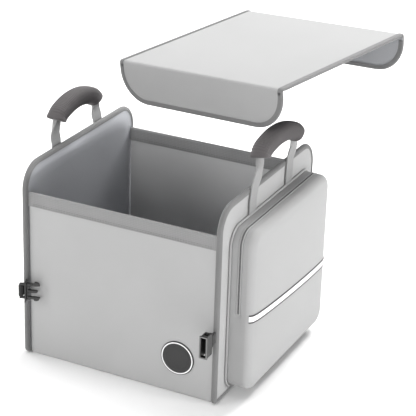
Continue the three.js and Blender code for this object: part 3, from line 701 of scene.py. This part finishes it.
def make_binding(name, side):
    """Ribbon bound over half of the lid's edge and all round one flap."""
    places, outward, faces, bend = binding_path(side)
    section = ribbon_section(LID_RIBBON, LID_THICK / 2)
    near_fold = np.exp(-((np.abs(places[:, 1]) - fold_reach) / 0.004) ** 2) * (places[:, 2] > -0.012)
    pinch = 1 - near_fold * (1 - 0.55 * bend / section[0, 1])
    rings = []
    for place, out, face, share in zip(places, outward, faces, pinch):
        heights = np.where(section[:, 1] < 0, section[:, 1] * share, section[:, 1])
        rings.append(place - section[:, :1] * out + heights[:, None] * face)
    band = build(f"lid_{name}_ribbon", lid_form(skin(rings)))
    dress(
        band, "edging_ribbon", "edging_ribbon",
        "lid_left_edging", "lid_right_edging", f"lid_{name}_flap_edging", body=None,
    )
    bend_with_flap(band)
    return band


# Handles

grip_length, grip_width, grip_height = 0.132, 0.032, 0.031
mouth_depth, mouth_width, mouth_height = 0.014, 0.025, 0.023
APEX, DROP = 0.421, 0.015
handles = {
    "left": {"side": -1, "legs": 0.145, "foot": 0.245, "sway": -0.008, "twist": 0.0},
    "right": {"side": 1, "legs": 0.147, "foot": 0.3126, "sway": 0.020, "twist": 0.007},
}
STRAP_WIDTH, STRAP_THICK = 0.028, 0.0024
# The grip's ends roll in over a short length, and its sleeve has fine ribs across it
GRIP_ROLL, RIB_PITCH, RIB_HEIGHT = 0.003, 0.0032, 0.0004
# How far round the webbing curls inside the grip, in radians
FULL_CURL = 4.3


def curve_through(points, steps):
    """A centripetal Catmull-Rom curve through a list of points, in even steps along it."""
    points = np.asarray(points, float)
    first, last = 2 * points[0] - points[1], 2 * points[-1] - points[-2]
    padded = np.vstack([first, points, last])
    dense = []
    for a, b, c, d in zip(padded, padded[1:], padded[2:], padded[3:]):
        knots = [0.0]
        for here, there in ((a, b), (b, c), (c, d)):
            knots.append(knots[-1] + np.linalg.norm(there - here) ** 0.5)
        t0, t1, t2, t3 = knots
        for t in np.linspace(t1, t2, 24, endpoint=False):
            a1 = (t1 - t) / (t1 - t0) * a + (t - t0) / (t1 - t0) * b
            a2 = (t2 - t) / (t2 - t1) * b + (t - t1) / (t2 - t1) * c
            a3 = (t3 - t) / (t3 - t2) * c + (t - t2) / (t3 - t2) * d
            b1 = (t2 - t) / (t2 - t0) * a1 + (t - t0) / (t2 - t0) * a2
            b2 = (t3 - t) / (t3 - t1) * a2 + (t - t1) / (t3 - t1) * a3
            dense.append((t2 - t) / (t2 - t1) * b1 + (t - t1) / (t2 - t1) * b2)
    dense = np.vstack([dense, points[-1]])
    at = lengths(dense)
    even = np.linspace(0, at[-1], steps)
    return np.stack([np.interp(even, at, dense[:, axis]) for axis in range(3)], axis=1)


def handle_route(handle, steps):
    """The middle line of a handle's webbing, from its front foot to its rear one."""
    side, sway, twist = handle["side"], handle["sway"], handle["twist"]
    end_top = corners("left_end_edging")[1][2]
    panel = corners("right_end_panel")[1][0]
    x = side * (panel + ribbon_stand + SEAM + STRAP_THICK / 2)
    foot, low = handle["legs"] / 2, handle["foot"]
    shoulder = end_top - 0.025
    grip_end = APEX - DROP
    above = (grip_end + end_top) / 2 - 0.005
    reach = grip_length / 2
    lean = side * twist
    return curve_through([
        (x, -foot, low),
        (x, -foot, (low + shoulder) / 2),
        (x, -foot, shoulder),
        (x, -foot + 0.3 * (foot - reach + sway), end_top + 0.003),
        (x, -reach + sway - 0.003, above + 0.005),
        (x - lean * 0.5, -reach + sway + 0.006, grip_end),
        (x - lean * 0.3, -reach * 0.45 + sway, APEX - DROP * 0.2),
        (x, sway, APEX),
        (x + lean * 0.3, reach * 0.45 + sway, APEX - DROP * 0.25),
        (x + lean * 0.5, reach + sway - 0.006, grip_end - 0.002),
        (x, reach + sway + 0.003, above),
        (x, foot - 0.3 * (foot - reach - sway), end_top + 0.003),
        (x, foot, shoulder),
        (x, foot, (low + shoulder) / 2),
        (x, foot, low),
    ], steps)


def route_frames(path):
    """Directions along a handle's route, in its own plane and across it."""
    tangents = unit(np.gradient(path, axis=0))
    in_plane = unit(np.cross(tangents, [1.0, 0, 0]))
    across = unit(np.cross(in_plane, tangents))
    return tangents, in_plane, across


def curled(width, thick, curl, steps=12):
    """Section of webbing that is flat at no curl and rolls into a tube as the curl grows, in radians."""
    angle = max(curl, 0.05)
    radius = width / angle
    turn = np.linspace(-angle / 2, angle / 2, steps)
    rows = []
    for offset, order in ((thick / 2, turn), (-thick / 2, turn[::-1])):
        rows.append(np.c_[(radius + offset) * np.sin(order), (radius + offset) * np.cos(order) - radius])
    section = np.vstack(rows)
    return section - [0, (section[:, 1].max() + section[:, 1].min()) / 2]


def make_handle(name, handle):
    """A loop of webbing that rolls up inside a ribbed, padded grip."""
    side = handle["side"]
    steps = 150
    path = handle_route(handle, steps)
    at = lengths(path)
    middle = at[-1] / 2
    _, in_plane, across = route_frames(path)
    half_grip = grip_length * 0.53
    into = half_grip - np.abs(at - middle)
    rings = []
    for index in range(steps):
        curl = FULL_CURL * smooth(into[index], -0.030, 0.004)
        section = curled(STRAP_WIDTH - 0.001, STRAP_THICK, curl)
        rings.append(path[index] + section[:, :1] * in_plane[index] + section[:, 1:] * across[index] * side)
    strap = build(f"{name}_handle_webbing", skin(rings))
    dress(strap, "webbing", "webbing", f"{name}_handle_strap")

    fine = handle_route(handle, 700)
    at = lengths(fine)
    middle = at[-1] / 2
    _, in_plane, across = route_frames(fine)
    inside = np.flatnonzero(np.abs(at - middle) <= half_grip)
    sides = 40
    angle = np.linspace(0, 2 * math.pi, sides, endpoint=False)

    def ring(index, wide, tall, ripple=0.0):
        wave = np.stack([np.cos(angle), np.sin(angle)])
        wave = np.sign(wave) * np.abs(wave) ** 0.72
        ac = (wide / 2 + ripple) * wave[0]
        pl = (tall / 2 + ripple) * wave[1]
        return fine[index] + ac[:, None] * across[index] + pl[:, None] * in_plane[index]

    outer = []
    for index in inside:
        from_end = half_grip - abs(at[index] - middle)
        roll = math.sqrt(max(1 - max(1 - from_end / GRIP_ROLL, 0) ** 2, 0))
        ribs = RIB_HEIGHT * math.cos(2 * math.pi * (at[index] - middle) / RIB_PITCH)
        ripple = ribs * smooth(from_end, 0.004, 0.008)
        hem = 0.0008 * math.exp(-((from_end - GRIP_ROLL) / 0.0022) ** 2)
        narrowed = 0.005 * (1 - roll)
        outer.append(ring(index, grip_width - narrowed, grip_height - narrowed, ripple + hem))
    depth = np.linspace(0.0005, mouth_depth, 5)
    step = at[1] - at[0]

    def bore(first, inward):
        rings = []
        for into_end in depth:
            index = first + inward * int(round(into_end / step))
            rings.append(ring(index, mouth_width, mouth_height))
        return rings

    front = bore(inside[0], 1)[::-1]
    rear = bore(inside[-1], -1)
    sleeve = build(f"{name}_grip_sleeve", skin(front + outer + rear), sharp=80)
    dress(sleeve, "grip_cloth", "grip_cloth", f"{name}_handle_grip")
    # The faces inside each mouth get the near-black painted shade.
    sleeve.data.materials.append(finish["grip_mouth_painted_shade"])
    inner_count = len(front) * sides
    total = (len(front) + len(outer)) * sides
    for face in sleeve.data.polygons:
        if all(c < inner_count or c >= total for c in face.vertices):
            face.material_index = 1


# Zipped pocket

pocket_low, pocket_high = corners("pocket_shell")
POCKET_DEPTH, POCKET_FILLET, POCKET_CORNER = 0.044, 0.014, 0.028
CROWN = 0.005
panel_out = pocket_low[0] - SEAM
ZIP_LIFT, ZIP_BOTTOM = 0.019, 0.158
ZIP_HALF = 0.0038


def pocket_outline(inset, corner=16, edge=40):
    return rounded(
        pocket_low[1] + inset, pocket_high[1] - inset, pocket_low[2] + inset, pocket_high[2] - inset,
        POCKET_CORNER - inset, POCKET_CORNER - inset, corner=corner, edge=edge,
    )


def crown_at(y, z):
    """How far the pocket's face stands above its rim, none at the rim."""
    middle = (pocket_low + pocket_high) / 2
    half = (pocket_high - pocket_low) / 2 - POCKET_FILLET
    across = np.cos(math.pi / 2 * np.minimum(np.abs(y - middle[1]) / half[1], 1))
    upward = np.cos(math.pi / 2 * np.minimum(np.abs(z - middle[2]) / half[2], 1))
    return CROWN * np.sqrt(across * upward)


def pocket_height(y, z):
    """Distance of the pocket's surface from the end panel above a point of its outline."""
    middle = (pocket_low + pocket_high) / 2
    half = (pocket_high - pocket_low) / 2
    over = np.stack([np.abs(y - middle[1]) - half[1], np.abs(z - middle[2]) - half[2]]) + POCKET_CORNER
    outside = np.hypot(*np.maximum(over, 0)) + np.minimum(np.maximum(over[0], over[1]), 0)
    inset = np.clip(POCKET_CORNER - outside, 0, None)
    edge = np.maximum(POCKET_FILLET - inset, 0)
    return POCKET_DEPTH - POCKET_FILLET + np.sqrt(POCKET_FILLET**2 - edge**2) + crown_at(y, z)


def make_pocket():
    """Moulded cloth shell with a groove for the zip round its upper sides."""
    middle = (pocket_low + pocket_high) / 2
    slope, deep = 0.0008, 0.0016
    near, far = ZIP_LIFT - ZIP_HALF, ZIP_LIFT + ZIP_HALF
    groove = ((near - slope, 0.0), (near, deep), (far, deep), (far + slope, 0.0))
    profile = [(SEAM, 0.0), (0.002, 0.0), (0.006, 0.0), (0.010, 0.0), *groove, (0.026, 0.0)]
    rings = []
    for lift, sunk in profile:
        outer = in_yz(pocket_outline(0), panel_out + lift)
        if sunk:
            inner = in_yz(pocket_outline(sunk), panel_out + lift)
            share = smooth(outer[:, 2], ZIP_BOTTOM - 0.004, ZIP_BOTTOM)[:, None]
            outer = outer + (inner - outer) * share
        rings.append(outer)
    for t in np.linspace(0, math.pi / 2, 12):
        lift = POCKET_DEPTH - POCKET_FILLET * (1 - math.sin(t))
        rings.append(in_yz(pocket_outline(POCKET_FILLET * (1 - math.cos(t))), panel_out + lift))
    rim = pocket_outline(POCKET_FILLET)
    for scale in np.linspace(0.97, 0.03, 26):
        face = middle[1:] + (rim - middle[1:]) * scale
        rings.append(np.c_[panel_out + POCKET_DEPTH + crown_at(face[:, 0], face[:, 1]), face])
    shell = build("pocket_form", skin(rings, chart=[[0, 1, 0], [0, 0, 1]]))
    dress(shell, "pocket_cloth", "pocket_cloth", "pocket_shell")


def outline_frames(outline, x):
    path = in_yz(outline, x)
    tangents = unit(np.roll(path, -1, axis=0) - np.roll(path, 1, axis=0))
    return path, np.cross(tangents, [1.0, 0, 0])


def make_piping():
    """Cord in cloth, sewn all round the pocket's base, on its sewn flange."""
    low, high = corners("pocket_piping")
    bead = (high[0] - low[0]) / 2
    path, outward = outline_frames(pocket_outline(-bead - SEAM / 2), panel_out + bead + SEAM)
    angle = np.linspace(0, 2 * math.pi, 14, endpoint=False)
    section = np.c_[bead * np.cos(angle), bead * np.sin(angle)] * 0.98
    facing = np.tile([1.0, 0, 0], (len(path), 1))
    cord = sweep(path, outward, facing, section, loop=True)
    piping = build("pocket_piping_cord", cord)
    dress(piping, "piping", "piping", "pocket_piping")


def zip_path(inset):
    """The zip's way up the front side, over the top and down the rear side."""
    outline = pocket_outline(inset)
    lowest = np.argmin(outline[:, 1])
    outline = np.roll(outline, -lowest, axis=0)
    path, outward = outline_frames(outline, panel_out + ZIP_LIFT)
    keep = np.flatnonzero(path[:, 2] >= ZIP_BOTTOM)
    return path[keep], outward[keep]


def make_zip():
    """Two lips of cloth that nearly meet over a row of teeth."""
    path, outward = zip_path(0.0008)
    facing = np.tile([1.0, 0, 0], (len(path), 1))
    angle = np.linspace(0, 2 * math.pi, 12, endpoint=False)
    lip_half, lip_tall, lip_out = 0.00155, 0.0016, 0.0026
    lips = []
    for side in (-1, 1):
        section = np.c_[lip_tall * np.cos(angle), side * lip_out + lip_half * np.sin(angle)]
        lips.append(sweep(path, outward, facing, section))
    cover = build("zip_lips", *lips)
    dress(cover, "zip_tape", "zip_tape", "zip_chain")
    teeth = []
    places, tangents = resample(path - outward * 0.0002, 0.0024)
    out = np.cross(tangents, [1.0, 0, 0])
    for place, tangent, up in zip(places, tangents, out):
        rings = []
        for share, swell in ((-1, 0.6), (-0.7, 1), (0.7, 1), (1, 0.6)):
            turn = np.linspace(0, 2 * math.pi, 6, endpoint=False)
            radius = 0.0008 * swell
            centre = place + np.array([share * 0.0014, 0, 0])
            rings.append(centre + radius * (np.cos(turn)[:, None] * tangent + np.sin(turn)[:, None] * up))
        teeth.append(skin(rings))
    row = build("zip_teeth_row", *teeth)
    dress(row, "zip_teeth", "zip_tape")


STRIPE_FRONT, STRIPE_REAR = (-0.148, 0.155), (0.165, 0.135)
STRIPE_HALF, STRIPE_EDGE = 0.0049, 0.0024


def stripe_band(low, high, lift):
    """A thin band across the pocket's face between two distances from the stripe's middle line."""
    inset = np.array([POCKET_FILLET * (1 - math.cos(t)) for t in np.linspace(0.25, math.pi / 2, 12)])
    front = pocket_low[1] + inset
    rear = pocket_high[1] - inset[::-1]
    ys = np.r_[front, np.linspace(front[-1], rear[0], 60)[1:-1], rear]
    ys = ys[(ys >= STRIPE_FRONT[0]) & (ys <= STRIPE_REAR[0] + 0.003)]
    slope = (STRIPE_REAR[1] - STRIPE_FRONT[1]) / (STRIPE_REAR[0] - STRIPE_FRONT[0])
    rings = []
    for y in ys:
        z = STRIPE_FRONT[1] + slope * (y - STRIPE_FRONT[0]) + np.array([low, low, high, high])
        step = 1e-4
        base = pocket_height(np.full(4, y), z)
        rise = (pocket_height(np.full(4, y + step), z) - pocket_height(np.full(4, y - step), z)) / (2 * step)
        normal = unit(np.c_[np.ones(4), -rise, np.zeros(4)])
        over = np.array([0.0, lift, lift, 0.0])
        rings.append(np.c_[panel_out + base, np.full(4, y), z] + normal * over[:, None])
    return skin(rings)


def make_stripe():
    """Pale reflective band with a dark cord along each edge."""
    film = build("reflective_band", stripe_band(-STRIPE_HALF, STRIPE_HALF, 0.0007), sharp=40)
    dress(film, "reflective", "reflective", "reflective_stripe")
    edges = [
        stripe_band(STRIPE_HALF, STRIPE_HALF + STRIPE_EDGE, 0.0010),
        stripe_band(-STRIPE_HALF - STRIPE_EDGE, -STRIPE_HALF, 0.0010),
    ]
    rim = build("reflective_band_edges", *edges, sharp=40)
    dress(rim, "stripe_edge", "reflective")


# Badge, buckles and the zip's slider


def turned(profile, centre, sides=72):
    """A round form about an axis along -Y from radii and distances from the front panel."""
    angle = np.linspace(0, 2 * math.pi, sides, endpoint=False)
    rings = []
    for radius, out in profile:
        ring = np.c_[radius * np.cos(angle), np.full(sides, -out), radius * np.sin(angle)]
        rings.append(ring + centre)
    return skin(rings, chart=[[1, 0, 0], [0, 0, 1]])


def make_badge():
    """A bare rubber disc with a raised rim and a pale ring set into it."""
    low, high = corners("badge_disc")
    radius, thick = (high[0] - low[0]) / 2, high[1] - low[1]
    centre = np.array([(low[0] + high[0]) / 2, high[1], (low[2] + high[2]) / 2])
    rim, sunk = 0.0042, 0.0004
    profile = [
        (radius, 0.0), (radius, thick - 0.0006), (radius - 0.0002, thick - 0.0002), (radius - 0.0007, thick),
        (radius - rim + 0.0003, thick), (radius - rim, thick - 0.0002), (radius - rim - 0.0003, thick - sunk),
        (radius * 0.72, thick - sunk), (radius * 0.71, thick - sunk + 0.0003),
        (radius * 0.68, thick - sunk + 0.0003), (radius * 0.67, thick - sunk),
        (radius * 0.3, thick - sunk + 0.0002), (0.001, thick - sunk + 0.0003),
    ]
    disc = build("badge_face", turned(profile, centre), sharp=40)
    dress(disc, "badge_rubber", "badge_rubber", "badge_disc")
    inner, outer = radius - 0.0036, radius - 0.0016
    angle = np.linspace(0, 2 * math.pi, 72, endpoint=False)
    section = np.array([(inner, thick - 0.0003), (outer, thick - 0.0003), (outer, thick + 0.0003),
                        (inner, thick + 0.0003)])
    rings = []
    for turn in angle:
        ring = np.c_[section[:, 0] * math.cos(turn), -section[:, 1], section[:, 0] * math.sin(turn)]
        rings.append(ring + centre)
    ring = build("badge_pale_ring", skin(rings, loop=True), sharp=40)
    dress(ring, "badge_ring", "badge_rubber")


def dress_node(name, look):
    """A CAD node whose shape is right keeps it, and gets soft edges and its material."""
    node = frame["nodes"][name]
    node.data.materials.clear()
    node.data.materials.append(finish[look])
    bevel = node.modifiers.new("soft_edges", "BEVEL")
    bevel.width = 0.0003
    bevel.segments = 2
    bevel.limit_method = "ANGLE"
    bevel.angle_limit = math.radians(35)
    node.data.polygons.foreach_set("use_smooth", [True] * len(node.data.polygons))
    node.data.set_sharp_from_angle(angle=math.radians(40))


def make_socket_rim():
    """The frame round the buckle socket's mouth, its black plastic painted lighter grey as a highlight on the
    edges.
    """
    low, high = corners("buckle_socket")
    front = low[1]
    middle = (low + high) / 2
    wide, tall = (high[0] - low[0]) / 2, (high[2] - low[2]) / 2
    outer = rounded(-wide, wide, -tall, tall, 0.001, 0.001, corner=4, edge=6)
    band, back, front_lip = 0.0021, 0.0008, -0.0006
    inner = rounded(-wide + band, wide - band, -tall + band, tall - band, 0.0006, 0.0006, 4, 6)
    rings = []
    for (ox, oz), (ix, iz) in zip(outer, inner):
        ring = [(ox, back, oz), (ox, front_lip, oz), (ix, front_lip, iz), (ix, back, iz)]
        rings.append(np.array(ring) + [middle[0], front, middle[2]])
    rim = build("buckle_socket_rim", skin(rings, loop=True), sharp=35)
    dress(rim, "socket_rim_painted_highlight", "buckle_plastic", body="socket")


def make_buckle_webbing(name):
    """Two plies of webbing that hold a buckle's bar and are sewn to the end's front edge."""
    node = f"{name}_buckle_webbing"
    low, high = corners(node)
    joint = joints["plug_swing" if name == "left" else "socket_swing"]
    bar = np.array(joint["pos_m"])
    thick = 0.0016
    inner = 0.0025
    outer = inner + thick
    root = high[1] - bar[1]
    turn = np.linspace(math.radians(18), math.radians(-198), 20)
    outside = [(thick * 1.05, root), (thick * 1.3, root * 0.6), (outer * 0.98, 0.0015)]
    outside += [(outer * math.cos(t), outer * math.sin(t)) for t in turn]
    outside += [(-outer * 0.98, 0.0015), (-thick * 1.3, root * 0.6), (-thick * 1.05, root)]
    hole = [(inner * math.cos(t), inner * math.sin(t)) for t in turn[::-1]]
    inside = [(-0.0001, root), (-0.0001, root * 0.45), *hole, (0.0001, root * 0.45), (0.0001, root)]
    section = np.array(outside + inside)
    zs = np.linspace(low[2], high[2], 14)
    rings = [np.c_[section + bar[:2], np.full(len(section), z)] for z in zs]
    web = build(f"{name}_buckle_loop", skin(rings))
    dress(web, "buckle_webbing", "buckle_webbing", node)


make_end("left", -1)
make_end("right", 1)
make_wall("front", -1)
make_wall("rear", 1)
make_flat("floor_cloth", "bottom_panel", "lining_cloth", 0.002, 0.002)
make_flat("base_board_cloth", "base_board", "lining_cloth", 0.006, 0.0012)
make_lid_top()
make_flap("front", -1)
make_flap("rear", 1)
make_binding("front", -1)
make_binding("rear", 1)
for handle_name, handle in handles.items():
    make_handle(handle_name, handle)
make_pocket()
make_piping()
make_zip()
make_stripe()
make_badge()
dress_node("zip_slider", "zip_metal")
dress_node("zip_pull", "zip_pull")
dress_node("buckle_plug", "buckle_plastic")
dress_node("buckle_socket", "buckle_plastic")
make_socket_rim()
make_buckle_webbing("left")
make_buckle_webbing("right")

# Floor, light and camera


def make_stage():
    mesh = bpy.data.meshes.new("studio_floor")
    reach = 9.0
    rows = [(-reach, -reach), (reach, -reach), (reach, reach), (-reach, reach)]
    mesh.from_pydata([(x, y, -0.0003) for x, y in rows], [], [(0, 1, 2, 3)])
    floor = bpy.data.objects.new("studio_floor", mesh)
    bpy.context.scene.collection.objects.link(floor)
    graph = Graph("studio_floor", (0.9, 0.9, 0.9), 0.95)
    mesh.materials.append(graph.material)


def area_light(name, place, target, size, power, shape=None):
    data = bpy.data.lights.new(name, "AREA")
    data.shape = "RECTANGLE" if shape else "SQUARE"
    data.size = size
    if shape:
        data.size_y = shape
    data.energy = power
    lamp = bpy.data.objects.new(name, data)
    lamp.location = place
    lamp.rotation_mode = "QUATERNION"
    lamp.rotation_quaternion = (Vector(target) - Vector(place)).to_track_quat("-Z", "Y")
    bpy.context.scene.collection.objects.link(lamp)
    return lamp


def make_light():
    world = bpy.data.worlds.new("studio")
    world.use_nodes = True
    world.node_tree.nodes["Background"].inputs["Color"].default_value = (1, 1, 1, 1)
    world.node_tree.nodes["Background"].inputs["Strength"].default_value = 0.16
    bpy.context.scene.world = world
    area_light("side", (3.2, 0.20, 0.53), (0, 0, 0.33), 0.9, 72, 0.09)
    area_light("front", (0.4, -3.3, 0.9), (0, 0, 0.3), 1.5, 52)
    area_light("front_left", (-2.2, -2.4, 2.0), (0, 0, 0.3), 1.5, 42)
    area_light("left", (-3.0, 0.6, 1.6), (0, 0, 0.2), 1.5, 35)
    area_light("top", (-0.3, 0.4, 3.4), (0, 0, 0.3), 3.0, 90)
    area_light("rear", (0.3, 2.6, 2.4), (0, 0, 0.3), 1.5, 145)


def make_camera():
    """The photograph's view: where it looks from, how long its lens is and how far it leans."""
    azimuth, elevation, roll = (math.radians(angle) for angle in (25.83, 23.87, 1.87))
    target = Vector((0.044, 0.0584, 0.2368))
    distance = 2.8664
    back = Vector((
        math.sin(azimuth) * math.cos(elevation),
        -math.cos(azimuth) * math.cos(elevation),
        math.sin(elevation),
    ))
    level = (-back).cross(Vector((0, 0, 1))).normalized()
    upright = level.cross(-back)
    right = math.cos(roll) * level + math.sin(roll) * upright
    up = math.cos(roll) * upright - math.sin(roll) * level
    data = bpy.data.cameras.new("camera")
    data.sensor_width = 36
    data.lens = 36 * 1611.5 / 416
    data.clip_start, data.clip_end = 0.05, 60
    camera = bpy.data.objects.new("camera", data)
    turn = Matrix((right, up, back)).transposed().to_4x4()
    camera.matrix_world = Matrix.Translation(target + back * distance) @ turn
    bpy.context.scene.collection.objects.link(camera)
    bpy.context.scene.camera = camera


make_stage()
make_light()
make_camera()
bpy.context.scene.view_settings.view_transform = "Standard"
